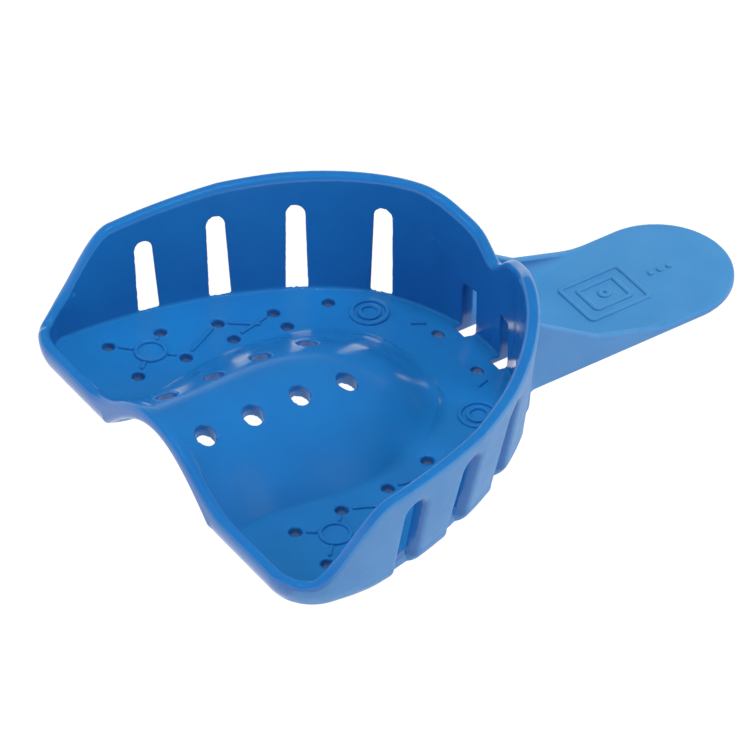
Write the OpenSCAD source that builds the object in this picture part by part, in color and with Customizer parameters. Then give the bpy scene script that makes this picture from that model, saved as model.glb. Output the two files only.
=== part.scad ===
// Perforated impression tray for the upper jaw, full arch, with a handle in front.
// X runs across the mouth, +Y towards the handle, +Z up. The underside lies on z = 0.
// Lengths towards the handle are measured from a base line just in front of the back edge.
// The object is one moulding. Each node is one region of it, and neighbours meet face to face.

/* [Trough] */
// Half of the clear width between the flanges at the heels
arch_half_w = 35.9; // [33.9:0.5:37.9]
// From the base line to the inside of the front flange
arch_l = 57.8; // [54:0.2:60]
// How far the cheek side runs before it bends inward
side_reach = 28.1; // [25.1:0.5:31.1]
// Half width of the blunt front of the arch
front_reach = 20.7; // [18.7:0.5:22.7]
// Thickness of the trough floor
floor_t = 2.9; // [2.6:0.1:3.2]
// How far the floor dips at the front flange
front_dip = 1.9; // [0:0.1:2]
// Distance of the back edge behind the base line
heel_reach = 3.1; // [2.6:0.1:3.6]
// Thickness of the bar along the back edge, front to back
heel_bar = 2.2; // [1.8:0.1:2.4]

/* [Flange] */
// Thickness of the side and front walls
wall_t = 2.2; // [1.8:0.1:2.6]
// Height of the rim along the heels
heel_h = 7.1; // [6:0.1:8]
// Height of the rim above the molars
molar_h = 18.7; // [17:0.1:20]
// Height of the rim beside the front teeth
front_h = 24.1; // [22:0.1:25]
// Distance over which the rim climbs out of the heel
climb_l = 13.5; // [12:0.5:18]
// Depth of the notch that clears the lip frenum
notch_depth = 4.2; // [2:0.1:5]
// Half width of that notch
notch_half_w = 3.4; // [2.8:0.1:4]
// Radius of the heel corner in plan
heel_corner_r = 7.7; // [6.2:0.1:8.2]
// Radius under the outside of the wall
skirt_r = 2; // [1:0.1:2.1]

/* [Slots] */
// Slot width at the floor
slot_w = 3.2; // [2.8:0.1:4]
// Slot width where its round top begins
slot_top_w = 2.7; // [2.2:0.1:3]
// Distance of each front slot from the midline
front_slot_x = 3.3; // [2.5:0.1:3.6]
// Width of each front slot
front_slot_w = 2.8; // [2:0.1:3.2]
// Height of the top of the front slots
front_slot_h = 9.3; // [7:0.1:11]
// How far the front slots run into the trough floor
front_slot_in = 2.3; // [1:0.1:3]
// How far the front slots run past the inside of the wall, into the handle plate
front_slot_out = 4.5; // [3.5:0.1:6]

/* [Palate] */
// Height of the vault above the floor
vault_h = 11.2; // [8:0.1:13]
// Half width of the vault where it is widest
vault_half_w = 18.8; // [17:0.1:19]
// Thickness of the vault, measured square to its surface
vault_t = 2.3; // [2:0.1:2.6]
// Radius of the round holes in the vault
palate_hole_r = 1.6; // [1:0.05:2]
// Distance of those holes from the midline
palate_hole_x = 5.4; // [4:0.1:7]

/* [Trough holes] */
// Radius of the holes in the trough floor
floor_hole_r = 1; // [0.6:0.05:1.2]
// Distance from one row of holes to the next
row_pitch = 8.5; // [8:0.1:9]
// Distance of the first row from the base line
first_row = 7.8; // [6:0.1:9]

/* [Handle] */
// Width of the handle plate
handle_w = 23.8; // [18:0.2:26]
// Distance from the base line to the tip of the handle
handle_tip = 101.8; // [90:0.2:115]
// Thickness of the handle plate
plate_t = 1.3; // [1:0.1:2]
// Thickness of each handle rib
rib_t = 1.3; // [1:0.1:2]
// Height of each rib where it meets the tray
rib_root_h = 12.4; // [9:0.1:14]
// Height of each rib at its bend
rib_bend_h = 4.9; // [3:0.1:7]
// Distance from the base line to the bend of the rib
rib_bend = 70.3; // [66:0.1:74]
// Distance from the base line to the end of the rib
rib_end = 82; // [76:0.1:88]
// Height of the raised lines and frames
relief = 0.4; // [0.2:0.05:0.6]

/* [Hidden] */
$fn = 48;
blue_gloss = [0.05, 0.45, 0.75];
blue_deep = [0.12, 0.32, 0.66];
blue_matte = [0.32, 0.57, 0.82];

// Lists chosen by hand. Stations run along the arch, from 0 at the heel to 1 at the midline.
// Outward lean of the wall, per unit of height, as pairs of a station and a lean.
flare = [[0, 0.11], [0.226, 0.19], [0.371, 0.232], [0.478, 0.2], [0.594, 0.138], [0.71, 0.074],
    [0.807, 0.015], [1, 0]];
// Share of the wall's height at which the rim band begins.
band_share = [[0, 0.5], [0.226, 0.635], [0.362, 0.664], [1, 0.682]];
// Stations of the slot centres.
slot_at = [0.228, 0.36, 0.507, 0.685];
// Outer and inner hole of each row, measured from the midline.
row_x = [[30.4, 21.8], [28.8, 21.5], [25.7, 21.2], [23.1, 19.2], [20.5, 20.5]];
// Front pair of holes: distance from the midline and from the base line.
front_hole = [5.3, 52];

// The origin is under the middle of the overall box.
y0 = (heel_reach - handle_tip) / 2;
// Front of the bar along the back edge.
bar_y = heel_bar - heel_reach;
wall_names = ["heel", "molar", "premolar", "canine"];
steps = [8, 3, 3, 4];
labial_steps = 10;
inset = 0.25;

// ---- plan curve of the arch -------------------------------------------------------------
arch_ctrl = [
    [arch_half_w, -heel_reach], [arch_half_w + 1.2, side_reach], [front_reach, arch_l], [0, arch_l]
];
function arch(t) =
    pow(1 - t, 3) * arch_ctrl[0] + 3 * t * pow(1 - t, 2) * arch_ctrl[1]
    + 3 * t * t * (1 - t) * arch_ctrl[2] + pow(t, 3) * arch_ctrl[3];
function arch_speed(t) =
    3 * pow(1 - t, 2) * (arch_ctrl[1] - arch_ctrl[0])
    + 6 * t * (1 - t) * (arch_ctrl[2] - arch_ctrl[1]) + 3 * t * t * (arch_ctrl[3] - arch_ctrl[2]);
function outward(t) = let (v = arch_speed(t)) [v.y, -v.x] / norm(v);
function lerp(a, b, f) = a + (b - a) * f;
// Station at which the arch passes the front of the bar, by a few Newton steps.
function passing(y, t, n) = n == 0 ? t : passing(y, t - (arch(t).y - y) / arch_speed(t).y, n - 1);
bar_end = passing(bar_y, 0, 4);
function clamp01(f) = min(1, max(0, f));
function smooth(f) = let (c = clamp01(f)) c * c * (3 - 2 * c);

// ---- height, lean and thickness of the wall at station t --------------------------------
function notch(x) =
    notch_depth * exp(-pow(x / notch_half_w, 2)) + 3.2 * exp(-pow(x / (3 * notch_half_w), 4));
function rim_z(t) =
    let (p = arch(t))
    heel_h + (molar_h - heel_h) * smooth(p.y / climb_l)
    + (front_h - molar_h) * clamp01((p.y - climb_l) / 41) - notch(p.x);
function lean(t) = lookup(t, flare);
function split_z(t) = lerp(floor_t, rim_z(t), lookup(t, band_share));
// The heel corner is an arc of one centre on both faces, so the wall is drawn in behind it.
function behind(t, r) = max(0, heel_corner_r - heel_reach - arch(t).y) / r;
function drawn_in(t, r) = let (f = min(1, behind(t, r))) r * (1 - sqrt(1 - f * f));
function face_in(t) = -drawn_in(t, heel_corner_r - wall_t);
function thick(t) = wall_t - drawn_in(t, heel_corner_r) - face_in(t);

// A point d outside the inner face, at height z, of station t.
function wall_pt(t, d, z) =
    let (p = arch(t) + outward(t) * (face_in(t) + d + lean(t) * max(0, z - floor_t)))
    [p.x, p.y + y0, z];

// Heights of the four levels of a lower wall, and of the four levels of the rim band.
function low_z(t) = [0, 0.3 * skirt_r, floor_t, split_z(t)];
function top_z(t) = [for (f = [0, 0.7, 0.93, 1]) lerp(split_z(t), rim_z(t), f)];
// How far the outer skin is drawn in at those levels, and both skins at the rounded rim.
function skirt_in(t, i) =
    arch(t).x < handle_w / 2 + 1 ? 0
    : i == 0 ? min(skirt_r, thick(t) - inset)
    : i == 1 ? 0.3 * thick(t)
    : 0;
round_in = [0, 0, 0.16, 0.4];

// Half of the slot's width, as a share of the arch, at level i of a lower wall.
function slot_half(t, i) = (i < 3 ? slot_w : slot_top_w) / 2 / norm(arch_speed(t));

// Start and end of wall k on the side of the arch. Wall 4 is the labial wall, up to the midline.
function wall_from(k, i) = k == 0 ? bar_end : slot_at[k - 1] + slot_half(slot_at[k - 1], i);
function wall_to(k, i) = k == 4 ? 1 : slot_at[k] - slot_half(slot_at[k], i);
function eased(k, f) = k == 0 ? f * f : f;
function wall_t_at(k, i, j, n) = lerp(wall_from(k, i), wall_to(k, i), eased(k, j / n));

// ---- solids between two skins of points -------------------------------------------------
// a and b are grids of the same size. Rows crossed with columns point from a towards b.
module slab(a, b) {
    n = len(a);
    k = len(a[0]);
    rows = [0:n - 2];
    cols = [0:k - 2];
    function id(s, i, j) = (s * n + i) * k + j;
    function skin_a(i, j) = [id(0, i, j), id(0, i + 1, j), id(0, i + 1, j + 1), id(0, i, j + 1)];
    function skin_b(i, j) = [id(1, i, j), id(1, i, j + 1), id(1, i + 1, j + 1), id(1, i + 1, j)];
    function side(i, j) = [id(0, i, j), id(1, i, j), id(1, i + 1, j), id(0, i + 1, j)];
    function end(i, j) = [id(0, i, j), id(0, i, j + 1), id(1, i, j + 1), id(1, i, j)];
    function flip(q) = [q[3], q[2], q[1], q[0]];
    quads = concat(
        [for (i = rows, j = cols) skin_a(i, j)],
        [for (i = rows, j = cols) skin_b(i, j)],
        [for (i = rows) side(i, 0)],
        [for (i = rows) flip(side(i, k - 1))],
        [for (j = cols) end(0, j)],
        [for (j = cols) flip(end(n - 1, j))]
    );
    polyhedron(
        points = concat([for (r = a) each r], [for (r = b) each r]),
        faces = [for (q = quads) each [[q[0], q[1], q[2]], [q[0], q[2], q[3]]]]
    );
}

// ---- walls ------------------------------------------------------------------------------
function low_row(t_of_level) =
    [for (i = [0:3]) let (t = t_of_level[i]) wall_pt(t, 0, low_z(t)[i])];
function low_row_out(t_of_level) =
    [for (i = [0:3]) let (t = t_of_level[i]) wall_pt(t, thick(t) - skirt_in(t, i), low_z(t)[i])];
function top_row(t) = [for (i = [0:3]) wall_pt(t, round_in[i] * thick(t), top_z(t)[i])];
function top_row_out(t) = [for (i = [0:3]) wall_pt(t, (1 - round_in[i]) * thick(t), top_z(t)[i])];

module side_wall(k) {
    n = steps[k];
    rows = [for (j = [0:n]) [for (i = [0:3]) wall_t_at(k, i, j, n)]];
    color(blue_deep) slab([for (r = rows) low_row(r)], [for (r = rows) low_row_out(r)]);
}

// Stations of the rim band: every station of the walls below it, and each slot's middle.
function band_stations() = [
    for (k = [0:3]) each concat(
        [for (j = [0:steps[k]]) wall_t_at(k, 3, j, steps[k])],
        [slot_at[k]]
    ),
    wall_from(4, 0)
];

module rim_band() {
    ts = band_stations();
    color(blue_gloss)
    difference() {
        slab([for (t = ts) top_row(t)], [for (t = ts) top_row_out(t)]);
        for (t = slot_at) slot_top(t);
    }
}

// The round top of a slot, square to the wall.
module slot_top(t) {
    o = outward(t);
    translate(wall_pt(t, 0, split_z(t)))
        rotate([0, 90, atan2(o.y, o.x)])
        cylinder(h = 4 * wall_t, r = slot_top_w / 2, center = true);
}

// Full-height wall between the last slots, around the midline. With a depth, it also fills the
// space that far inside it.
module labial_blank(depth = 0) {
    ts = [for (j = [0:labial_steps]) wall_t_at(4, 0, j, labial_steps)];
    function same(t) = [t, t, t, t];
    function deep(p, t) = p - depth * [outward(t).x, outward(t).y, 0];
    function in_col(t) = concat(low_row(same(t)), [for (i = [1:3]) top_row(t)[i]]);
    right_in = [for (t = ts) [for (p = in_col(t)) deep(p, t)]];
    right_out = [for (t = ts) concat(low_row_out(same(t)), [for (i = [1:3]) top_row_out(t)[i]])];
    function other(g) = [for (i = [len(g) - 2:-1:0]) [for (p = g[i]) [-p.x, p.y, p.z]]];
    slab(concat(right_in, other(right_in)), concat(right_out, other(right_out)));
}

module front_slots() {
    for (s = [-1, 1])
        translate([
            s > 0 ? front_slot_x : -front_slot_x - front_slot_w, arch_l - front_slot_in + y0, -1
        ])
        cube([front_slot_w, front_slot_in + front_slot_out, front_slot_h + 1]);
}

module labial_wall() {
    color(blue_deep)
    difference() {
        labial_blank();
        front_slots();
    }
}

// ---- palate vault -----------------------------------------------------------------------
split_t = wall_t_at(3, 0, 1, steps[3]);
nose_y = arch(split_t).y;
vault_end = nose_y + 1.5;
function vault_w(y) =
    vault_half_w * (y > 21 ? sqrt(1 - pow((y - 21) / (vault_end - 21), 2)) : 1)
    - 2.2 * exp(-pow((y - 6) / 8, 2));
function vault_c(y) = vault_h * (y > 5 ? 1 - pow((y - 5) / (nose_y - 5), 3.7) : 1);
// Height of the top of the vault at a share f of its half width.
function vault_top(y, f) = floor_t + vault_c(y) * cos(90 * f);
function vault_low(y, f) =
    let (rise = vault_c(y) * PI / 2 / vault_w(y) * sin(90 * abs(f)))
    max(0, vault_top(y, f) - vault_t * sqrt(1 + rise * rise));

vault_cols = [for (i = [0:24]) -1 + i / 12];
vault_rows = [for (j = [0:16]) lerp(bar_y, nose_y, 1 - pow(1 - j / 16, 1.4))];

module holes_at(points, r) {
    for (p = points, s = [-1, 1])
        translate([s * p.x, p.y + y0, -1]) cylinder(h = vault_h + floor_t + 3, r = r);
}

palate_holes = [for (i = [0:3]) [palate_hole_x, 2.7 + i * 8.4]];

module palate_vault() {
    color(blue_gloss)
    difference() {
        slab(
            [for (f = vault_cols) [for (y = vault_rows) [f * vault_w(y), y + y0, vault_low(y, f)]]],
            [for (f = vault_cols) [for (y = vault_rows) [f * vault_w(y), y + y0, vault_top(y, f)]]]
        );
        holes_at(palate_holes, palate_hole_r);
    }
}

// The bar goes on across the back of the vault, and rises with it.
function bar_top(x) = max(heel_h, floor_t + vault_h * cos(min(90, 90 * x / (vault_half_w + 1.5))));

module palate_edge() {
    w = vault_w(bar_y);
    color(blue_gloss)
    difference() {
        slab(
            [for (f = vault_cols) [for (g = [0:3]) [
                f * w,
                lerp(-heel_reach, bar_y, g / 3) + y0,
                vault_low(bar_y, f) + (g == 0 ? 0.8 : 0)
            ]]],
            [for (f = vault_cols) [for (g = [0:3]) [
                f * w,
                lerp(-heel_reach, bar_y, g / 3) + y0,
                bar_top(abs(f * w)) - (g == 0 ? 0.8 : 0)
            ]]]
        );
        holes_at(palate_holes, palate_hole_r);
    }
}

// ---- trough floor -----------------------------------------------------------------------
floor_holes = [for (i = [0:4], x = row_x[i]) [x, first_row + i * row_pitch]];

// Foot of the inner face of wall k, over its first so many steps.
function foot(k, last) = [
    for (j = [0:last]) let (t = wall_t_at(k, 0, j, steps[k])) arch(t) + outward(t) * face_in(t)
];

module trough_floor_side() {
    side = concat([for (k = [0:2]) each foot(k, steps[k])], foot(3, 1));
    inner = [for (i = [len(vault_rows) - 1:-1:0]) [vault_w(vault_rows[i]), vault_rows[i]]];
    color(blue_gloss)
    difference() {
        translate([0, y0, 0]) linear_extrude(floor_t)
            polygon(concat(side, inner));
        holes_at(floor_holes, floor_hole_r);
    }
}

// Tilts what lies on the level floor onto the slope that runs down to the front flange.
dip_from = nose_y + 5.5;
module on_dip() {
    translate([0, dip_from + y0, floor_t])
        rotate([-atan2(front_dip, arch_l - dip_from), 0, 0])
        translate([0, -dip_from - y0, -floor_t])
        children();
}

module trough_floor_front() {
    side = [for (j = [1:steps[3]]) arch(wall_t_at(3, 0, j, steps[3]))];
    front = [for (j = [0:labial_steps]) arch(wall_t_at(4, 0, j, labial_steps))];
    right = concat(side, front);
    color(blue_gloss)
    difference() {
        translate([0, y0, 0]) linear_extrude(floor_t)
            polygon(concat(right, [for (i = [len(right) - 2:-1:0]) [-right[i].x, right[i].y]]));
        holes_at(floor_holes, floor_hole_r);
        holes_at([front_hole], floor_hole_r);
        on_dip()
            translate([-arch_half_w, dip_from + y0, floor_t])
            cube([2 * arch_half_w, arch_l, 10]);
        front_slots();
    }
}

// Bar along the back edge of the trough, with a rounded top and a rounded back. Its outer end
// follows the arc of the heel corner.
module heel_edge() {
    w = vault_w(bar_y);
    corner_x = arch(bar_end).x + wall_t - heel_corner_r;
    color(blue_gloss)
    intersection() {
        translate([w, y0 - heel_reach, 0])
            rotate([90, 0, 90])
            linear_extrude(arch_half_w + wall_t - w)
            intersection() {
                square([heel_bar, heel_h]);
                union() {
                    translate([heel_bar / 2, heel_h - heel_bar / 2]) circle(heel_bar / 2);
                    square([heel_bar, heel_h - heel_bar / 2]);
                }
                translate([heel_h, heel_h]) circle(heel_h + 0.01, $fn = 96);
            }
        translate([0, y0 - heel_reach, -1]) linear_extrude(heel_h + 2) union() {
            square([corner_x, heel_corner_r]);
            translate([corner_x, heel_corner_r]) circle(heel_corner_r, $fn = 96);
        }
    }
}

// ---- relief on the trough floor ---------------------------------------------------------
module ridge(a, b) {
    d = b - a;
    translate([a.x, a.y + y0, floor_t])
        rotate([0, 0, atan2(d.y, d.x)])
        translate([0, -relief, 0])
        cube([norm(d), 2 * relief, relief]);
}

module ring(p, r_out, r_in) {
    translate([p.x, p.y + y0, floor_t])
        rotate_extrude()
        translate([r_in, 0])
        square([r_out - r_in, relief]);
}

module ring_boss() {
    color(blue_gloss) {
        ring([14.8, 45.6], 3.1, 2.6);
        ring([14.8, 45.6], 1.8, 1.3);
    }
}

// From a towards b, starting s beyond a and stopping e short of b.
module link(a, b, s, e) {
    u = (b - a) / norm(b - a);
    ridge(a + u * s, b - u * e);
}

module floor_ridges() {
    centre = [25.6, first_row + row_pitch / 2 + 0.4];
    ring_r = 2.7;
    clear = floor_hole_r + 0.5;
    color(blue_gloss) {
        ring(centre, ring_r, ring_r - 2 * relief);
        for (h = [floor_holes[0], floor_holes[1], floor_holes[2], floor_holes[3]])
            link(centre, h, ring_r, clear);
        link(floor_holes[3], floor_holes[4], clear, clear);
        link(floor_holes[4], floor_holes[7], clear, clear + 2.6);
        link(floor_holes[5], floor_holes[6], clear, clear);
        on_dip() ridge([9.2, dip_from + 0.2], [8.2, dip_from + 2.6]);
    }
}

// ---- handle -----------------------------------------------------------------------------
handle_r = handle_w / 2;
plate_from = arch_l - 8;

module handle_plate() {
    round_y = handle_tip - handle_r;
    function wall_foot(t) = arch(t) + wall_t * outward(t);
    foot_line = [for (j = [0:labial_steps]) wall_foot(wall_t_at(4, 0, j, labial_steps))];
    color(blue_matte)
    difference() {
        translate([0, y0, 0]) linear_extrude(plate_t) difference() {
            union() {
                translate([-handle_r, plate_from]) square([handle_w, round_y - plate_from]);
                translate([0, round_y]) circle(handle_r, $fn = 96);
            }
            polygon(concat([[foot_line[0].x, 0]], foot_line,
                [for (i = [labial_steps - 1:-1:0]) [-foot_line[i].x, foot_line[i].y]],
                [[-foot_line[0].x, 0]]));
        }
        front_slots();
    }
}

module handle_rib() {
    rib_from = arch_l - 4;
    slope = (rib_root_h - rib_bend_h) / (rib_bend - arch_l);
    color(blue_matte)
    difference() {
        translate([handle_r - rib_t, y0, 0]) rotate([90, 0, 90]) linear_extrude(rib_t)
            polygon([
                [rib_from, plate_t],
                [rib_from, rib_bend_h + slope * (rib_bend - rib_from)],
                [rib_bend, rib_bend_h],
                [rib_end, plate_t]
            ]);
        labial_blank(6);
    }
}

// A plain raised frame round a smaller one and a disc, and a row of pips beyond it.
frame_half = [4.9, 5.9];
frame_y = 79.6;
module outline(half) {
    line = 2 * relief;
    difference() {
        square(2 * half, center = true);
        square(2 * (half - [line, line]), center = true);
    }
}

module handle_frame() {
    color(blue_matte) translate([0, frame_y + y0, plate_t]) linear_extrude(relief) {
        outline(frame_half);
        outline(0.62 * frame_half);
        circle(1.2);
    }
}

module handle_pips() {
    color(blue_matte)
    for (i = [0:2])
        translate([0, 88.5 + 1.7 * i + y0, plate_t]) cylinder(h = relief, r = 0.55);
}

trough_floor_side();  // trough_floor_right
mirror([1, 0, 0]) trough_floor_side();  // trough_floor_left
trough_floor_front();
heel_edge();  // heel_edge_right
mirror([1, 0, 0]) heel_edge();  // heel_edge_left
palate_vault();
palate_edge();
for (k = [0:3]) {
    side_wall(k);
    mirror([1, 0, 0]) side_wall(k);
}
labial_wall();
rim_band();  // rim_band_right
mirror([1, 0, 0]) rim_band();  // rim_band_left
ring_boss();  // ring_boss_right
mirror([1, 0, 0]) ring_boss();  // ring_boss_left
floor_ridges();  // floor_ridges_right
mirror([1, 0, 0]) floor_ridges();  // floor_ridges_left
handle_plate();
handle_rib();  // handle_rib_right
mirror([1, 0, 0]) handle_rib();  // handle_rib_left
handle_frame();
handle_pips();
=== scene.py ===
"""Perforated impression tray for the upper jaw: its looks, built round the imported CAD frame.

The tray is one moulding, so its skin is worked out as one surface: a signed distance in
millimetres, below zero inside the plastic, with a radius on every edge and in every corner.
The surface is then shared out among pieces, one for each CAD node, which meet face to face.
x runs across the mouth, z up from the underside, and u forward to the handle from a base line
just in front of the back edge.
"""

import math
from types import SimpleNamespace

import bpy
import numpy as np
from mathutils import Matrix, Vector


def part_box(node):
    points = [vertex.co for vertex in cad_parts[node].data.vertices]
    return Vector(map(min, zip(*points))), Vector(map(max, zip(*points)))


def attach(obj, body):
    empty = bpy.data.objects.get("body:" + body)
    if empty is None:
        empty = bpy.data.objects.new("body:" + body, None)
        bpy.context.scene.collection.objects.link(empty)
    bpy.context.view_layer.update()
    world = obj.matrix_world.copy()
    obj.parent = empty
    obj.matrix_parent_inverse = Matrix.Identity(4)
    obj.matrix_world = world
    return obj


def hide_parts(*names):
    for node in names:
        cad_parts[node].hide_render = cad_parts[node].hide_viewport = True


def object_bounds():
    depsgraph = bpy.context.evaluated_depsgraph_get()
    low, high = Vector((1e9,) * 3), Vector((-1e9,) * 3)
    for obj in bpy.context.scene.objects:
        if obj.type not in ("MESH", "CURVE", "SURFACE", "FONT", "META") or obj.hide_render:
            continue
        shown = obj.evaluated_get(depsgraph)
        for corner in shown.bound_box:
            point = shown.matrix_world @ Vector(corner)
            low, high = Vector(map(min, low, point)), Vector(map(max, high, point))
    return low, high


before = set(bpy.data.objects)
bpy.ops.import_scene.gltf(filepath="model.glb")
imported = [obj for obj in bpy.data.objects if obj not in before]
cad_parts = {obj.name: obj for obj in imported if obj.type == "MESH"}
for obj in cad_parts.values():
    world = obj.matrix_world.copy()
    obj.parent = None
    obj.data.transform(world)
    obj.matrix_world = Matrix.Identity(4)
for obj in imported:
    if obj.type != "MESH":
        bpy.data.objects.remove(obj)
cad_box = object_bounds()

MM = 0.001
box_low, box_high = (np.array(corner) / MM for corner in cad_box)


def node_top(node):
    """Height in mm of the highest point of a CAD node."""
    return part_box(node)[1].z / MM


# ---- driving sizes, in mm ------------------------------------------------------------------
HEEL_REACH = 3.1
HEEL_LINE = box_low[1] + HEEL_REACH
ARCH = np.array([[35.9, -HEEL_REACH], [37.1, 28.1], [20.7, 57.8], [0, 57.8]])
ARCH_L = ARCH[3, 1]
FLOOR_T = node_top("trough_floor_right")
FRONT_DIP = 1.9
WALL_T = 2.2
HEEL_H = 7.1
MOLAR_H = 18.7
FRONT_H = 24.1
CLIMB_L = 13.5
CLIMB_END = 54.5
NOTCH_DEPTH = 4.2
NOTCH_HALF_W = 3.4
# The rim dips towards the notch from further out
DIP_DEPTH = 3.2
DIP_HALF_W = 3 * NOTCH_HALF_W
# The bar along the back edge: its thickness, and where its front lies
HEEL_BAR = 2.2
BAR_FRONT = HEEL_BAR - HEEL_REACH
HEEL_CORNER_R = 7.7
# How far the foot of the corner lies under the leaning wall
HEEL_CORNER_EASE = 0.8
# Where the lip has sunk into the floor beside the wall, and over what length it sinks
LIP_END = 9
LIP_FADE_L = 5
# Outward lean of the wall, and the share of its height where the rim band begins, by station
LEAN = [
    [0, 0.226, 0.371, 0.478, 0.594, 0.71, 0.807, 1],
    [0.11, 0.19, 0.232, 0.2, 0.138, 0.074, 0.015, 0],
]
BAND = [[0, 0.226, 0.362, 1], [0.5, 0.635, 0.664, 0.682]]

SLOT_AT = [0.228, 0.36, 0.507, 0.685]
SLOT_W = 3.2
SLOT_TOP_W = 2.7
FRONT_SLOT = SimpleNamespace(x=4.7, half_x=1.4, u=58.9, half_u=3.4, top=9.3)

VAULT_H = 11.2
VAULT_HALF_W = 18.8
VAULT_T = 2.3
NOSE = 43.7
VAULT_SIDE_SLOPE = 0.94
# Where the vault's width and its height begin to fall
TAPER_FROM = 21
CROWN_FROM = 5
# How far its border is drawn in near the heels
WAIST = SimpleNamespace(depth=2.2, u=6, length=8)
# The bar along the back edge rises over a little more than the vault's width
BAR_HALF_W = VAULT_HALF_W + 1.5
FRONT_DIP_FROM = NOSE + 5.5
PALATE_HOLES = [[5.4, 2.7 + 8.4 * i] for i in range(4)]
PALATE_HOLE_R = 1.6
ROWS = [[30.4, 21.8], [28.8, 21.5], [25.7, 21.2], [23.1, 19.2], [20.5, 20.5]]
ROW_PITCH = 8.5
FIRST_ROW = 7.8
FLOOR_HOLES = [[x, FIRST_ROW + i * ROW_PITCH] for i in range(5) for x in ROWS[i]]
FRONT_HOLE = [5.3, 52]
FLOOR_HOLE_R = 1

HANDLE_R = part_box("handle_plate")[1].x / MM
HANDLE_END = box_high[1] - HEEL_LINE
HANDLE_ROUND = HANDLE_END - HANDLE_R
PLATE_T = node_top("handle_plate")
RIB_T = 1.3
# Top edge of a handle rib: distances from the base line, and heights
RIB = [[54, 58.8, 70.3, 82, 84], [15.5, 12.4, 4.9, 1.3, 0.9]]
RELIEF = 0.4

# Marks: a ring with spokes to its four holes, a double ring boss, a frame and three pips
SPOKE_RING = SimpleNamespace(x=25.6, u=FIRST_ROW + ROW_PITCH / 2 + 0.4, r=2.7)
BOSS = SimpleNamespace(x=14.8, u=45.6, outer_r=2.85, inner_r=1.55)
FRAME_U = 79.6
PIP_U = 88.5
PIP_PITCH = 1.7
PIP_R = 0.25

# Radii of the moulded edges
RIM_R = 1.05
EDGE_R = 0.9
CORNER_R = 0.45
SKIRT_R = 2.9
HEEL_SKIRT_R = 6
UNDER_R = 1.05
BAR_R = 1.1
HOLE_R = 0.22

# Distance given to what is nowhere near
FAR = 99.0


# ---- arithmetic ----------------------------------------------------------------------------
def clamp(f):
    return np.clip(f, 0, 1)


def smooth(f):
    c = clamp(f)
    return c * c * (3 - 2 * c)


def lerp(a, b, f):
    return a + (b - a) * f


def round_max(a, b, r):
    """Where both solids are, with their shared edge rounded to radius r."""
    corner = np.hypot(np.maximum(a + r, 0), np.maximum(b + r, 0))
    return np.minimum(-r, np.maximum(a, b)) + corner


def round_min(a, b, r):
    """Where either solid is, with a fillet of radius r between them."""
    return -round_max(-a, -b, r)


def soft_max(a, b, k):
    """The larger of two heights, blended where they are within k of each other."""
    h = np.maximum(k - np.abs(a - b), 0) / k
    return np.maximum(a, b) + h * h * k / 4


# ---- plan curve of the arch ----------------------------------------------------------------
def arch(t):
    """Point, first and second derivative of the inner foot of the wall at station t."""
    t = np.asarray(t)[..., None]
    p0, p1, p2, p3 = ARCH
    s = 1 - t
    point = s**3 * p0 + 3 * t * s * s * p1 + 3 * t * t * s * p2 + t**3 * p3
    speed = 3 * s * s * (p1 - p0) + 6 * t * s * (p2 - p1) + 3 * t * t * (p3 - p2)
    bend = 6 * s * (p2 - 2 * p1 + p0) + 6 * t * (p3 - 2 * p2 + p1)
    return point, speed, bend


def coarse_station(place):
    """Station of the arch nearest to each place in plan, out of 65."""
    tries = np.linspace(0, 1, 65)
    points = arch(tries)[0]
    t = np.zeros(len(place))
    for part in np.array_split(np.arange(len(place)), max(1, len(place) // 20000)):
        gap = ((place[part, None, :] - points[None]) ** 2).sum(-1)
        t[part] = tries[gap.argmin(1)]
    return t


def nearest_station(place, start):
    """Station of the arch nearest to each place in plan, by Newton steps from a start."""
    t = coarse_station(place) if start is None else start
    for _ in range(4 if start is None else 2):
        point, speed, bend = arch(t)
        off = point - place
        push = (off * speed).sum(-1)
        curve = (speed**2).sum(-1) + (off * bend).sum(-1)
        step = push / np.maximum(curve, 0.3 * (speed**2).sum(-1))
        t = np.clip(t - np.clip(step, -0.02, 0.02), 0, 1)
    return t


def rim_height(t, x):
    """Height of the rim at station t, which is x from the midline."""
    u = arch(t)[0][..., 1]
    notch = NOTCH_DEPTH * np.exp(-((x / NOTCH_HALF_W) ** 2))
    dip = DIP_DEPTH * np.exp(-((x / DIP_HALF_W) ** 4))
    climb = (MOLAR_H - HEEL_H) * smooth(u / CLIMB_L)
    rise = (FRONT_H - MOLAR_H) * clamp((u - CLIMB_L) / (CLIMB_END - CLIMB_L))
    return HEEL_H + climb + rise - notch - dip


def band_height(t, rim):
    """Height at which the rim band begins: the spring line of the slots' round tops."""
    return FLOOR_T + (rim - FLOOR_T) * np.interp(t, *BAND)


# ---- floor and vault -----------------------------------------------------------------------
def vault_half(u):
    """Half width of the vault."""
    taper = np.sqrt(1 - clamp((u - TAPER_FROM) / (NOSE + 1.5 - TAPER_FROM)) ** 2 * 0.995)
    return VAULT_HALF_W * taper - WAIST.depth * np.exp(-(((u - WAIST.u) / WAIST.length) ** 2))


def bar_top(x):
    """Height of the bar along the back edge, which rises with the vault."""
    arched = FLOOR_T + VAULT_H * np.cos(np.pi / 2 * clamp(x / BAR_HALF_W))
    return soft_max(arched, HEEL_H, 3)


def lip_share(inside, lip):
    """Share of the lip's height, by distance behind its front face: a steep face with a
    hollow at its foot and a round top."""
    top = np.minimum(BAR_R, 0.8 * lip) / np.maximum(lip, 0.01)
    face = (1 - top) * smooth(0.5 + (inside + 0.12) / 0.5)
    return face + top * np.sqrt(1 - (1 - clamp(inside / BAR_R)) ** 2 * 0.9999)


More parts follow.
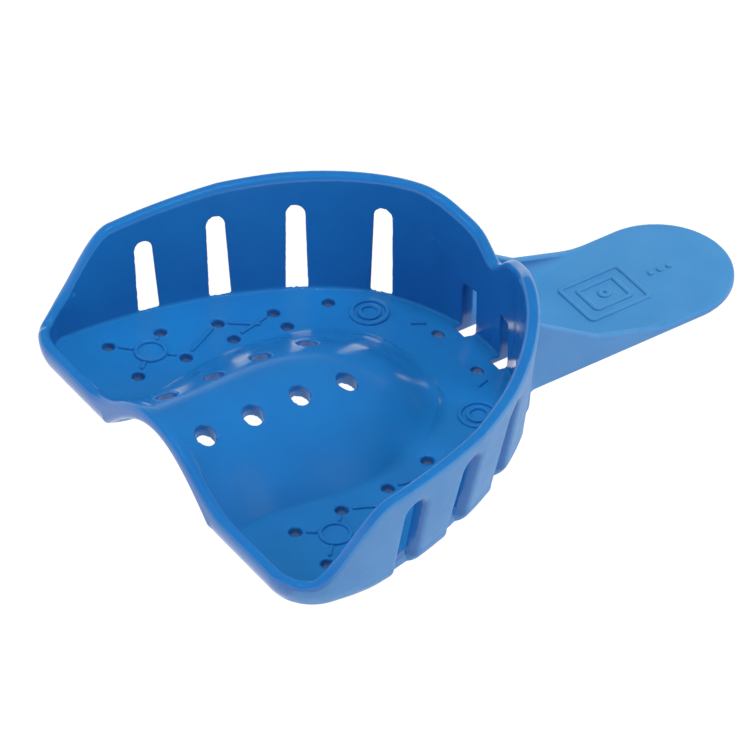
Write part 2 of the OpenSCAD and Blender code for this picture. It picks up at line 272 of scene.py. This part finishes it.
def vault_height(x, u):
    """Height of the vault over the trough floor, falling below zero beyond its border."""
    crown = VAULT_H * (1 - (np.maximum(u - CROWN_FROM, 0) / (NOSE - CROWN_FROM)) ** 3.7)
    half = vault_half(u)
    arched = np.where(crown > 0, crown * np.cos(np.pi / 2 * clamp(x / half)), crown)
    return np.where(x < half, arched, np.minimum(crown, 0) - VAULT_SIDE_SLOPE * (x - half))


def floor_height(x, u, d, rim):
    """Height of the surface that the trough, its heel lip and the vault share."""
    slope = FRONT_DIP / (ARCH_L - FRONT_DIP_FROM)
    trough = -slope * soft_max(u - FRONT_DIP_FROM, 0, 2.5)
    height = FLOOR_T + soft_max(vault_height(x, u), trough, 0.5 + 2 * smooth((u - 25) / 15))
    inside = round_max(BAR_FRONT - u, d - HEEL_CORNER_EASE, HEEL_CORNER_R - WALL_T)
    top = np.maximum(bar_top(x), lerp(HEEL_H, rim, smooth((d + 6) / 6)))
    lip = np.maximum(top - height, 0) * smooth((LIP_END - u) / LIP_FADE_L)
    return height + lip * lip_share(inside, lip)


def slopes(function, *place, h=0.05):
    """Derivatives of a height by x and by u."""
    x, u = place
    by_x = (function(x + h, u) - function(x - h, u)) / (2 * h)
    by_u = (function(x, u + h) - function(x, u - h)) / (2 * h)
    return by_x, by_u


# ---- the whole moulding --------------------------------------------------------------------
def plan(x, u, start=None):
    """Everything that depends only on the place in plan. x and u are flat arrays, and start
    holds stations close to the nearest ones, where they are known."""
    x = np.abs(x)
    place = np.stack([x, u], -1)
    t = nearest_station(place, start)
    point, speed, _ = arch(t)
    outward = np.stack([speed[:, 1], -speed[:, 0]], -1)
    outward /= np.linalg.norm(outward, axis=-1, keepdims=True)
    p = SimpleNamespace(x=x, u=u, t=t)
    p.d = ((place - point) * outward).sum(-1)
    p.lean = np.interp(t, *LEAN)
    p.rim = rim_height(t, x)
    p.band = band_height(t, p.rim)

    def shared_floor(a, b):
        d = p.d + (a - x) * outward[:, 0] + (b - u) * outward[:, 1]
        return floor_height(a, b, d, rim)

    rim = p.rim
    p.rim = rim + 20 * smooth(-(p.d + 0.2) / 6)
    p.floor = shared_floor(x, u)
    by_x, by_u = slopes(shared_floor, x, u)
    p.steep = np.sqrt(1 + by_x**2 + by_u**2)
    vault = vault_height(x, u)
    by_x, by_u = slopes(vault_height, x, u)
    p.vault = vault
    p.under_steep = np.sqrt(1 + by_x**2 + by_u**2)
    p.under = FLOOR_T + vault - VAULT_T * p.under_steep
    p.end = -HEEL_REACH - u
    beside_handle = smooth((x - HANDLE_R - 0.5) / 3)
    p.skirt = lerp(0.3, lerp(HEEL_SKIRT_R, SKIRT_R, smooth(u / 13)), beside_handle)
    p.across, p.spring = slot_place(place)
    p.holes = hole_distance(x, u)
    p.outline = np.where(u < HANDLE_ROUND, x, np.hypot(x, u - HANDLE_ROUND)) - HANDLE_R
    p.rib_top = np.interp(u, *RIB)
    return p


def slot_place(place):
    """Distance along the wall from the nearest slot's centre plane, and its spring height."""
    across = np.full(len(place), FAR)
    spring = np.zeros(len(place))
    for t in SLOT_AT:
        point, speed, _ = arch(t)
        along = (place - point) @ (speed / np.linalg.norm(speed))
        closer = np.abs(along) < np.abs(across)
        across = np.where(closer, along, across)
        spring = np.where(closer, band_height(t, rim_height(t, point[0])), spring)
    return np.abs(across), spring


def hole_distance(x, u):
    """Distance from the edge of the nearest round hole, below zero inside it."""
    gap = np.full(np.shape(x), FAR)
    for r, centres in ((PALATE_HOLE_R, PALATE_HOLES), (FLOOR_HOLE_R, FLOOR_HOLES + [FRONT_HOLE])):
        for cx, cu in centres:
            gap = np.minimum(gap, np.hypot(x - cx, u - cu) - r)
    return gap


def inner_face(p, z):
    """Distance outward from the inner face of the wall."""
    return p.d - p.lean * np.maximum(z - FLOOR_T, 0)


def shell(p, z):
    """Walls, floor and vault, before anything is cut out of them."""
    inner = inner_face(p, z)
    body = round_max(inner - WALL_T, p.end, HEEL_CORNER_R)
    body = round_max(body, -z, p.skirt)
    body = round_max(body, z - p.rim, RIM_R)
    room = round_max(inner, (p.floor - z) / p.steep, CORNER_R)
    body = round_max(body, -room, EDGE_R)
    return round_max(body, (p.under - z) / p.under_steep, UNDER_R)


def handle(p, z):
    """Handle plate with a rib along each edge and a fillet inside each rib."""
    rib = round_max(np.abs(p.x - HANDLE_R + RIB_T / 2) - RIB_T / 2, z - p.rib_top, 0.4)
    grip = round_min(z - PLATE_T, rib, lerp(4.5, 0.5, smooth((p.u - 60) / 24)))
    grip = round_max(grip, p.outline, 0.45)
    grip = round_max(grip, -z, 0.3)
    return np.maximum(grip, 0.8 - inner_face(p, z))


def side_slots(p, z):
    """Slots through the walls: straight cheeks, round tops, open below. The floor stays."""
    inner = inner_face(p, z)
    taper = clamp((z - FLOOR_T) / (p.spring - FLOOR_T))
    half = lerp(SLOT_W, SLOT_TOP_W, taper) / 2 + 0.35 * np.clip(inner, 0, WALL_T)
    profile = np.where(z > p.spring, np.hypot(p.across, z - p.spring), p.across) - half
    kept = np.maximum(inner - 0.4, z - p.floor - 0.3 - clamp(-inner))
    return np.maximum(profile, -kept)


def front_slots(p, z):
    s = FRONT_SLOT
    return np.maximum(
        np.maximum(np.abs(p.x - s.x) - s.half_x, np.abs(p.u - s.u) - s.half_u), z - s.top
    )


def moulding(p, z):
    """Signed distance to the whole moulding."""
    body = np.maximum(round_min(shell(p, z), handle(p, z), 1.2), -z)
    outer_edge = lerp(0.4, 0.9, smooth(inner_face(p, z) / WALL_T))
    body = round_max(body, -side_slots(p, z), outer_edge)
    body = round_max(body, -front_slots(p, z), 0.25)
    return round_max(body, -p.holes, HOLE_R)


# ---- which node each bit of plastic belongs to ---------------------------------------------
SPANNING = ["palate_vault", "palate_edge", "trough_floor_front", "labial_wall", "handle_plate"]
SIDED = [
    "trough_floor", "heel_edge", "heel_wall", "molar_wall", "premolar_wall", "canine_wall",
    "rim_band", "handle_rib",
]
REGIONS = SPANNING + [f"{name}_{side}" for name in SIDED for side in ("right", "left")]
CODE = {name: i + 1 for i, name in enumerate(REGIONS)}


def region_codes(p, z, side_x):
    """Code of the region at each place, as if it were all plastic. The borders keep off the
    skin, so that they cross it steeply."""
    inner = inner_face(p, z)
    left = side_x < 0

    def sided(name):
        return CODE[name + "_right"] + left.astype(np.int8)

    lanes = np.searchsorted(SLOT_AT, p.t)
    walls = np.choose(
        np.minimum(lanes, 3),
        [sided(n) for n in ("heel_wall", "molar_wall", "premolar_wall", "canine_wall")],
    )
    walls = np.where(z > p.band, sided("rim_band"), walls)
    walls = np.where(lanes == 4, CODE["labial_wall"], walls)
    under_vault = p.vault > 0
    floor = np.where(p.u > NOSE, CODE["trough_floor_front"], sided("trough_floor"))
    at_back = p.u < BAR_FRONT + 0.5
    floor = np.where(at_back, sided("heel_edge"), floor)
    floor = np.where(
        under_vault, np.where(at_back, CODE["palate_edge"], CODE["palate_vault"]), floor
    )
    beside = (p.x > HANDLE_R - 2.5) & (p.u < RIB[0][3]) & (z > 0.5)
    grip = np.where(beside, sided("handle_rib"), CODE["handle_plate"])
    on_handle = (inner > WALL_T + 1.5) & (p.x < HANDLE_R + 1) & (p.u > NOSE)
    return np.where(inner > -0.8, np.where(on_handle, grip, walls), floor).astype(np.int8)


# ---- surface -------------------------------------------------------------------------------
def sample_grid(step):
    """The field and the region codes on a grid round the tray, and the grid's first corner."""
    low = np.array([0, -HEEL_REACH, 0]) - 3 * step
    high = np.array([box_high[0], HANDLE_END, box_high[2]]) + 3 * step
    half = int(np.ceil(high[0] / step))
    xs = (np.arange(2 * half) - half + 0.5) * step
    us = np.arange(low[1], high[1] + step, step)
    zs = np.arange(low[2] + 0.37 * step, high[2] + step, step)
    x, u = (a.ravel() for a in np.meshgrid(xs, us, indexing="ij"))
    p = plan(x, u)
    for name, value in vars(p).items():
        setattr(p, name, value.reshape(len(xs), len(us), 1))
    z = zs.reshape(1, 1, -1)
    field = moulding(p, z)
    codes = region_codes(p, z, xs.reshape(-1, 1, 1) + 0 * z)
    codes[field >= 0] = 0
    return field, codes, np.array([xs[0], us[0], zs[0]])


def dual_mesh(field, codes, corner, step):
    """One vertex in each grid cell that a border crosses, and one quad on each grid edge that
    joins two codes. Returns points, quads, the codes on each quad's two sides."""
    quads, sides, places = [], [], []
    for axis in range(3):
        near = tuple(slice(0, -1) if a == axis else slice(None) for a in range(3))
        far = tuple(slice(1, None) if a == axis else slice(None) for a in range(3))
        at = np.argwhere(codes[near] != codes[far])
        here = tuple(at.T)
        code = np.stack([codes[near][here], codes[far][here]], -1)
        value = np.stack([field[near][here], field[far][here]], -1)
        open_side = (code == 0).any(-1)
        drop = np.where(open_side, value[:, 0] - value[:, 1], 1)
        share = np.where(open_side, value[:, 0] / drop, 0.5)
        place = at.astype(float)
        place[:, axis] += share
        cells = []
        for back_1, back_2 in ((0, 0), (1, 0), (1, 1), (0, 1)):
            cell = at.copy()
            cell[:, (axis + 1) % 3] -= back_1
            cell[:, (axis + 2) % 3] -= back_2
            cells.append(np.ravel_multi_index(tuple(cell.T), codes.shape))
        quads.append(np.stack(cells, -1))
        sides.append(code)
        places.append(place)
    quads, sides, places = (np.concatenate(a) for a in (quads, sides, places))
    _, index = np.unique(quads, return_inverse=True)
    quads = index.reshape(quads.shape)
    count = np.bincount(quads.ravel())
    points = np.stack(
        [np.bincount(quads.ravel(), np.repeat(places[:, a], 4)) / count for a in range(3)], -1
    )
    return corner + points * step, quads, sides


def value_and_slope(points, start, h=0.04):
    """The field and its gradient, by central differences, and the nearest stations."""
    x, u, z = points.T
    base = plan(x, u, start)
    value = moulding(base, z)
    ahead = [
        moulding(plan(x + h, u, base.t), z),
        moulding(plan(x, u + h, base.t), z),
        moulding(base, z + h),
    ]
    behind = [
        moulding(plan(x - h, u, base.t), z),
        moulding(plan(x, u - h, base.t), z),
        moulding(base, z - h),
    ]
    return value, (np.array(ahead) - np.array(behind)).T / (2 * h), base.t


def onto_surface(points, start, reach, count):
    """Points moved onto the surface, no further than reach in each of count steps."""
    for _ in range(count):
        value, slope, start = value_and_slope(points, start)
        move = -value[:, None] * slope / np.maximum((slope**2).sum(-1), 0.2)[:, None]
        size = np.linalg.norm(move, axis=-1, keepdims=True)
        points = points + move * np.minimum(1, reach / np.maximum(size, 1e-9))
    return points, start


def evened(points, edges, pull):
    """Points drawn towards the mean of their neighbours along the edges."""
    ends = np.concatenate([edges, edges[:, ::-1]])
    count = np.bincount(ends[:, 0], minlength=len(points))
    mean = np.stack(
        [np.bincount(ends[:, 0], points[ends[:, 1], a], len(points)) for a in range(3)], -1
    ) / np.maximum(count, 1)[:, None]
    return np.where(count[:, None] > 0, lerp(points, mean, pull), points)


def quad_edges(quads):
    return np.concatenate([quads[:, [k, (k + 1) % 4]] for k in range(4)])


def build_surface(step):
    """Points, quads, side codes and vertex normals of the whole moulding."""
    field, codes, corner = sample_grid(step)
    points, quads, sides = dual_mesh(field, codes, corner, step)
    is_skin = (sides == 0).any(-1)
    on_skin = np.zeros(len(points), bool)
    on_skin[quads[is_skin]] = True
    on_seam = np.zeros(len(points), bool)
    on_seam[quads[~is_skin]] = True
    skin_edges = quad_edges(quads[is_skin])
    seam_edges = skin_edges[on_seam[skin_edges].all(-1)]
    skin_edges = skin_edges[~on_seam[skin_edges[:, 0]]]
    start = None
    for _ in range(2):
        points[on_skin], start = onto_surface(points[on_skin], start, step, 2)
        inner = evened(points, skin_edges, 0.35)
        seams = evened(points, seam_edges, 0.5)
        points = np.where(on_seam[:, None], seams, inner)
    points[on_skin], start = onto_surface(points[on_skin], start, step, 3)
    normals = np.zeros_like(points)
    slope = value_and_slope(points[on_skin], start)[1]
    normals[on_skin] = slope / np.maximum(np.linalg.norm(slope, axis=-1, keepdims=True), 1e-9)
    return points, quads, sides, is_skin, normals


def to_world(points):
    """From millimetres in x, u, z to metres in the frame."""
    return (points + np.array([0, HEEL_LINE, 0])) * MM


def satin_and_heel_shade(points):
    """1 on the finely textured outside and handle, 0 on the polished inside. Towards the heel the
    outside falls back to 0, so the heel's outer faces take the darker polished colour: painted
    shade there, as well as a glossier finish.
    """
    p = plan(points[:, 0], points[:, 1])
    inner = inner_face(p, points[:, 2])
    # The outside turns polished towards the heel: a glossier finish there, and the darker
    # polished colour as painted shade on the heel's outer faces
    outside = smooth((inner - 0.75 * WALL_T) / (0.25 * WALL_T)) * smooth((p.u + 2) / 10)
    below = smooth((p.floor - 1.0 - points[:, 2]) / 0.6) * smooth(p.u + 2)
    return np.maximum(outside, below)


def new_piece(name, points, faces):
    mesh = bpy.data.meshes.new(name)
    mesh.from_pydata(to_world(points).tolist(), [], faces)
    mesh.shade_smooth()
    piece = bpy.data.objects.new(name, mesh)
    bpy.context.scene.collection.objects.link(piece)
    return piece


def finish_piece(piece, node, material):
    """Gives a piece its material and its place in the frame."""
    piece.data.materials.append(material)
    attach(piece, "root")
    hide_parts(node)


def region_piece(name, surface, satin):
    """The closed mesh of one region, with the moulding's own normals on its outside."""
    points, quads, sides, is_skin, normals = surface
    code = CODE[name]
    forward = sides[:, 0] == code
    back = sides[:, 1] == code
    faces = np.concatenate([quads[forward], quads[back][:, ::-1]])
    skin = np.concatenate([is_skin[forward], is_skin[back]])
    used, index = np.unique(faces, return_inverse=True)
    faces = index.reshape(faces.shape)
    piece = new_piece("moulded_" + name, points[used], faces.tolist())
    corner_normals = np.where(skin[:, None, None], normals[used][faces], 0).reshape(-1, 3)
    piece.data.normals_split_custom_set(corner_normals.tolist())
    share = piece.data.attributes.new("satin", "FLOAT", "POINT")
    share.data.foreach_set("value", satin[used].astype(np.float32))
    return piece


# ---- raised lines and marks ----------------------------------------------------------------
def line_profile(half_width, height):
    """Half-round section of a raised line: distances to the side, and heights."""
    angle = np.linspace(0, math.pi, 9)
    side = half_width * np.sign(np.cos(angle)) * np.abs(np.cos(angle)) ** 0.7
    rise = height * np.sin(angle) ** 0.7
    return np.append(side, [-half_width, half_width]), np.append(rise, [-0.3, -0.3])


def raised_line(name, paths, half_width, height, base):
    """One piece of several raised lines. A path is (points in plan, closed)."""
    all_points, faces = [], []
    side, rise = line_profile(half_width, height)
    n = len(side)
    for path, closed in paths:
        path = np.array(path, float)
        if closed:
            ahead = np.roll(path, -1, 0) - np.roll(path, 1, 0)
            scale = np.ones(len(path))
        else:
            ahead = np.gradient(path, axis=0)
            run = np.linalg.norm(path - path[0], axis=-1)
            left = np.minimum(run, run[-1] - run)
            scale = np.sqrt(1 - clamp(1 - left / half_width) ** 2 * 0.999)
        ahead /= np.linalg.norm(ahead, axis=-1, keepdims=True)
        across = np.stack([ahead[:, 1], -ahead[:, 0]], -1)
        place = path[:, None] + across[:, None] * (side[None, :, None] * scale[:, None, None])
        level = base(place[..., 0], place[..., 1]) + rise * scale[:, None]
        first = sum(len(p) for p in all_points)
        all_points.append(np.concatenate([place, level[..., None]], -1).reshape(-1, 3))
        rows = len(path)
        for i in range(rows if closed else rows - 1):
            for k in range(n):
                a, b = first + i * n, first + (i + 1) % rows * n
                faces.append([a + k, a + (k + 1) % n, b + (k + 1) % n, b + k])
        if not closed:
            faces.append([first + k for k in range(n)][::-1])
            faces.append([first + (rows - 1) * n + k for k in range(n)])
    return new_piece(name, np.concatenate(all_points), faces)


def straight(a, b, start=0.0, stop=0.0):
    """Open path from a to b, with its two ends drawn in."""
    a, b = np.array(a, float), np.array(b, float)
    length = np.linalg.norm(b - a)
    ends = np.linspace(0, 0.4, 6)
    run = np.concatenate([start + ends, length - stop - ends[::-1]])
    return a + (b - a) / length * run[:, None], False


def circle(centre, r, count=64):
    angle = np.linspace(0, 2 * math.pi, count, endpoint=False)
    return np.stack([centre[0] + r * np.cos(angle), centre[1] + r * np.sin(angle)], -1), True


def rounded_frame(centre, half, r, count=6):
    """Closed path round a rectangle with round corners."""
    path = []
    for quarter, (sx, sy) in enumerate(((1, 1), (-1, 1), (-1, -1), (1, -1))):
        for angle in np.linspace(quarter, quarter + 1, count) * math.pi / 2:
            path.append([
                centre[0] + sx * (half[0] - r) + r * math.cos(angle),
                centre[1] + sy * (half[1] - r) + r * math.sin(angle),
            ])
    return path, True


def mirrored(paths):
    return [(np.array(path)[::-1] * [-1, 1], closed) for path, closed in paths]


def trough_level(x, u):
    p = plan(np.ravel(x), np.ravel(u))
    return p.floor.reshape(np.shape(x))


def plate_level(x, u):
    return np.full(np.shape(x), PLATE_T)


def floor_marks():
    """Paths of the ridges between the holes, and of the ring bosses, on the right side."""
    centre = [SPOKE_RING.x, SPOKE_RING.u]
    clear = FLOOR_HOLE_R + 0.5
    h = FLOOR_HOLES
    ridges = [circle(centre, SPOKE_RING.r - RELIEF)]
    ridges += [straight(centre, h[i], SPOKE_RING.r, clear) for i in range(4)]
    ridges += [straight(h[3], h[4], clear, clear)]
    ridges += [straight(h[4], h[7], clear, clear + 2.6)]
    ridges += [straight(h[5], h[6], clear, clear)]
    ridges += [straight([9.2, NOSE + 5.7], [8.2, NOSE + 8.1])]
    rings = [circle([BOSS.x, BOSS.u], r) for r in (BOSS.outer_r, BOSS.inner_r)]
    return ridges, rings


# ---- materials -----------------------------------------------------------------------------
class Nodes:
    """A material's node tree, with a short way to add and join nodes."""

    def __init__(self, name):
        self.material = bpy.data.materials.new(name)
        self.material.use_nodes = True
        self.tree = self.material.node_tree
        self.shader = self.tree.nodes["Principled BSDF"]

    def add(self, kind, **sockets):
        node = self.tree.nodes.new(kind)
        for name, value in sockets.items():
            node.inputs[name.replace("_", " ")].default_value = value
        return node

    def join(self, output, target):
        self.tree.links.new(output, target)


def noise(nodes, place, scale, detail=2.0, roughness=0.5):
    node = nodes.add("ShaderNodeTexNoise", Scale=scale, Detail=detail, Roughness=roughness)
    nodes.join(place, node.inputs["Vector"])
    return node.outputs["Fac"]


def ranged(nodes, value, low, high, from_low=0.3, from_high=0.7):
    """Maps a value onto a range."""
    node = nodes.add("ShaderNodeMapRange")
    node.inputs["From Min"].default_value = from_low
    node.inputs["From Max"].default_value = from_high
    node.inputs["To Min"].default_value = low
    node.inputs["To Max"].default_value = high
    nodes.join(value, node.inputs["Value"])
    return node.outputs["Result"]


def between(nodes, share, low, high, kind="FLOAT"):
    """Blend of two sockets, or two colours, by share."""
    node = nodes.add("ShaderNodeMix")
    node.data_type = kind
    wanted = "RGBA" if kind == "RGBA" else "VALUE"
    a, b = [s for s in node.inputs if s.name in "AB" and s.type == wanted]
    for socket, value in ((a, low), (b, high)):
        if isinstance(value, bpy.types.NodeSocket):
            nodes.join(value, socket)
        else:
            socket.default_value = value
    nodes.join(share, node.inputs[0])
    return [s for s in node.outputs if s.type == a.type][0]


GLOSS_BLUE = (0.01, 0.145, 0.44, 1)
GLOSS_DEEP = (0.01, 0.125, 0.4, 1)
SATIN_BLUE = (0.045, 0.21, 0.5, 1)
SATIN_PALE = (0.06, 0.24, 0.53, 1)


def blue_plastic(name, satin=None):
    """Moulded polypropylene. Polished and a little wavy inside, finely textured outside.
    satin is None where the mesh says which, by its own attribute."""
    nodes = Nodes(name)
    place = nodes.add("ShaderNodeTexCoord").outputs["Object"]
    if satin is None:
        attribute = nodes.add("ShaderNodeAttribute")
        attribute.attribute_name = "satin"
        share = attribute.outputs["Fac"]

    def chosen(gloss, matt, kind="FLOAT"):
        if satin is None:
            return between(nodes, share, gloss, matt, kind)
        return matt if satin else gloss

    flow = noise(nodes, place, 90, 3)
    patch = ranged(nodes, flow, 0, 1)
    # The polished colours are darker than the textured ones. Where the share falls towards the
    # heel, this darker colour is painted shade
    gloss = between(nodes, patch, GLOSS_DEEP, GLOSS_BLUE, "RGBA")
    matt = between(nodes, patch, SATIN_BLUE, SATIN_PALE, "RGBA")
    nodes.join(chosen(gloss, matt, "RGBA"), nodes.shader.inputs["Base Color"])
    smear = noise(nodes, place, 400, 4, 0.65)
    polished = ranged(nodes, smear, 0.12, 0.24)
    textured = ranged(nodes, smear, 0.46, 0.6)
    nodes.join(chosen(polished, textured), nodes.shader.inputs["Roughness"])
    grain = noise(nodes, place, 4200, 2, 0.6)
    wave = noise(nodes, place, 160, 1)
    bump = nodes.add("ShaderNodeBump", Distance=0.00004)
    if satin is None:
        nodes.join(between(nodes, share, 0.0, 0.8), bump.inputs["Strength"])
    else:
        bump.inputs["Strength"].default_value = 0.8 * satin
    nodes.join(grain, bump.inputs["Height"])
    sway = nodes.add("ShaderNodeBump", Strength=0.25, Distance=0.00008)
    nodes.join(wave, sway.inputs["Height"])
    nodes.join(bump.outputs["Normal"], sway.inputs["Normal"])
    nodes.join(sway.outputs["Normal"], nodes.shader.inputs["Normal"])
    nodes.shader.inputs["IOR"].default_value = 1.55
    nodes.shader.inputs["Subsurface Weight"].default_value = 0.12
    nodes.shader.inputs["Subsurface Radius"].default_value = (0.0002, 0.0008, 0.0016)
    nodes.shader.inputs["Subsurface Scale"].default_value = 1.0
    return nodes.material


# ---- the object ----------------------------------------------------------------------------
def make_tray():
    plastic = blue_plastic("blue_polypropylene")
    surface = build_surface(0.36)
    satin = satin_and_heel_shade(surface[0])
    for name in REGIONS:
        piece = region_piece(name, surface, satin)
        finish_piece(piece, name, plastic)


def make_marks():
    polished = blue_plastic("blue_polypropylene_marks", satin=0)
    textured = blue_plastic("blue_polypropylene_handle_marks", satin=1)
    ridges, rings = floor_marks()
    for side, turn in (("right", lambda a: a), ("left", mirrored)):
        piece = raised_line("raised_ridges_" + side, turn(ridges), 0.3, 0.42, trough_level)
        finish_piece(piece, "floor_ridges_" + side, polished)
        piece = raised_line("raised_rings_" + side, turn(rings), 0.36, 0.45, trough_level)
        finish_piece(piece, "ring_boss_" + side, polished)
    centre = [0, FRAME_U]
    frames = [
        rounded_frame(centre, (4.5, 5.5), 0.7),
        rounded_frame(centre, (2.7, 3.3), 0.5),
        circle(centre, 0.7),
    ]
    piece = raised_line("raised_frame", frames, 0.4, 0.35, plate_level)
    finish_piece(piece, "handle_frame", textured)
    pips = [circle([0, PIP_U + PIP_PITCH * i], PIP_R, 24) for i in range(3)]
    piece = raised_line("raised_pips", pips, 0.28, 0.35, plate_level)
    finish_piece(piece, "handle_pips", textured)


# ---- stage ---------------------------------------------------------------------------------
AZIMUTH = math.radians(56.1)
ELEVATION = math.radians(39.7)
DISTANCE = 1.0


def make_camera():
    """The photograph's viewing angle, aimed beside the tray's middle."""
    data = bpy.data.cameras.new("camera")
    data.lens = 316.8
    data.clip_start = 0.01
    data.clip_end = 20
    camera = bpy.data.objects.new("camera", data)
    bpy.context.scene.collection.objects.link(camera)
    cos_a, sin_a = math.cos(AZIMUTH), math.sin(AZIMUTH)
    cos_e, sin_e = math.cos(ELEVATION), math.sin(ELEVATION)
    back = Vector((sin_a * cos_e, -cos_a * cos_e, sin_e))
    right = Vector((cos_a, sin_a, 0))
    up = back.cross(right)
    aim = Vector((0, HEEL_LINE + 23, 2.9)) + 11.36 * right + 6.27 * up
    camera.location = aim * MM + back * DISTANCE
    camera.rotation_mode = "QUATERNION"
    camera.rotation_quaternion = (-back).to_track_quat("-Z", "Y")
    bpy.context.scene.camera = camera


def make_lamp(name, azimuth, elevation, distance, size, power, colour):
    """A soft lamp that looks at the tray."""
    data = bpy.data.lights.new(name, "AREA")
    data.shape = "DISK"
    data.size = size
    data.energy = power
    data.color = colour
    lamp = bpy.data.objects.new(name, data)
    bpy.context.scene.collection.objects.link(lamp)
    a, e = math.radians(azimuth), math.radians(elevation)
    back = Vector((math.sin(a) * math.cos(e), -math.cos(a) * math.cos(e), math.sin(e)))
    lamp.location = back * distance
    lamp.rotation_mode = "QUATERNION"
    lamp.rotation_quaternion = (-back).to_track_quat("-Z", "Y")
    lamp.visible_camera = False
    lamp.visible_glossy = False


def make_surround():
    """Studio surround: bright round the horizon, dim overhead."""
    world = bpy.data.worlds.new("surround")
    world.use_nodes = True
    tree = world.node_tree
    background = tree.nodes["Background"]
    direction = tree.nodes.new("ShaderNodeTexCoord")
    split = tree.nodes.new("ShaderNodeSeparateXYZ")
    ramp = tree.nodes.new("ShaderNodeValToRGB")
    ramp.color_ramp.interpolation = "EASE"
    ramp.color_ramp.elements[0].position = 0.1
    ramp.color_ramp.elements[0].color = (1, 1, 1, 1)
    ramp.color_ramp.elements[1].position = 0.5
    ramp.color_ramp.elements[1].color = (0.1, 0.1, 0.1, 1)
    tree.links.new(direction.outputs["Generated"], split.inputs[0])
    tree.links.new(split.outputs["Z"], ramp.inputs["Fac"])
    tree.links.new(ramp.outputs["Color"], background.inputs["Color"])
    background.inputs["Strength"].default_value = 1.0
    bpy.context.scene.world = world


def make_stage():
    """White floor that glows, as on a light table, and soft lamps overhead."""
    mesh = bpy.data.meshes.new("floor")
    r = 6.0
    mesh.from_pydata([(-r, -r, 0), (r, -r, 0), (r, r, 0), (-r, r, 0)], [], [(0, 1, 2, 3)])
    floor = bpy.data.objects.new("floor", mesh)
    floor.location.z = -0.00005
    bpy.context.scene.collection.objects.link(floor)
    nodes = Nodes("white_sweep")
    nodes.shader.inputs["Base Color"].default_value = (0.0, 0.0, 0.0, 1)
    nodes.shader.inputs["Roughness"].default_value = 0.9
    nodes.shader.inputs["Emission Color"].default_value = (1, 1, 1, 1)
    nodes.shader.inputs["Emission Strength"].default_value = 1.05
    mesh.materials.append(nodes.material)
    make_surround()
    make_lamp("overhead", 56, 88, 1.6, 0.8, 25, (1, 1.05, 0.9))
    make_lamp("key", 120, 35, 1.5, 0.6, 8, (1, 0.9, 1))
    make_lamp("fill", -15, 25, 1.5, 0.6, 7, (1, 0.8, 1))
    bpy.context.scene.view_settings.view_transform = "Standard"


make_camera()
make_stage()
make_tray()
make_marks()
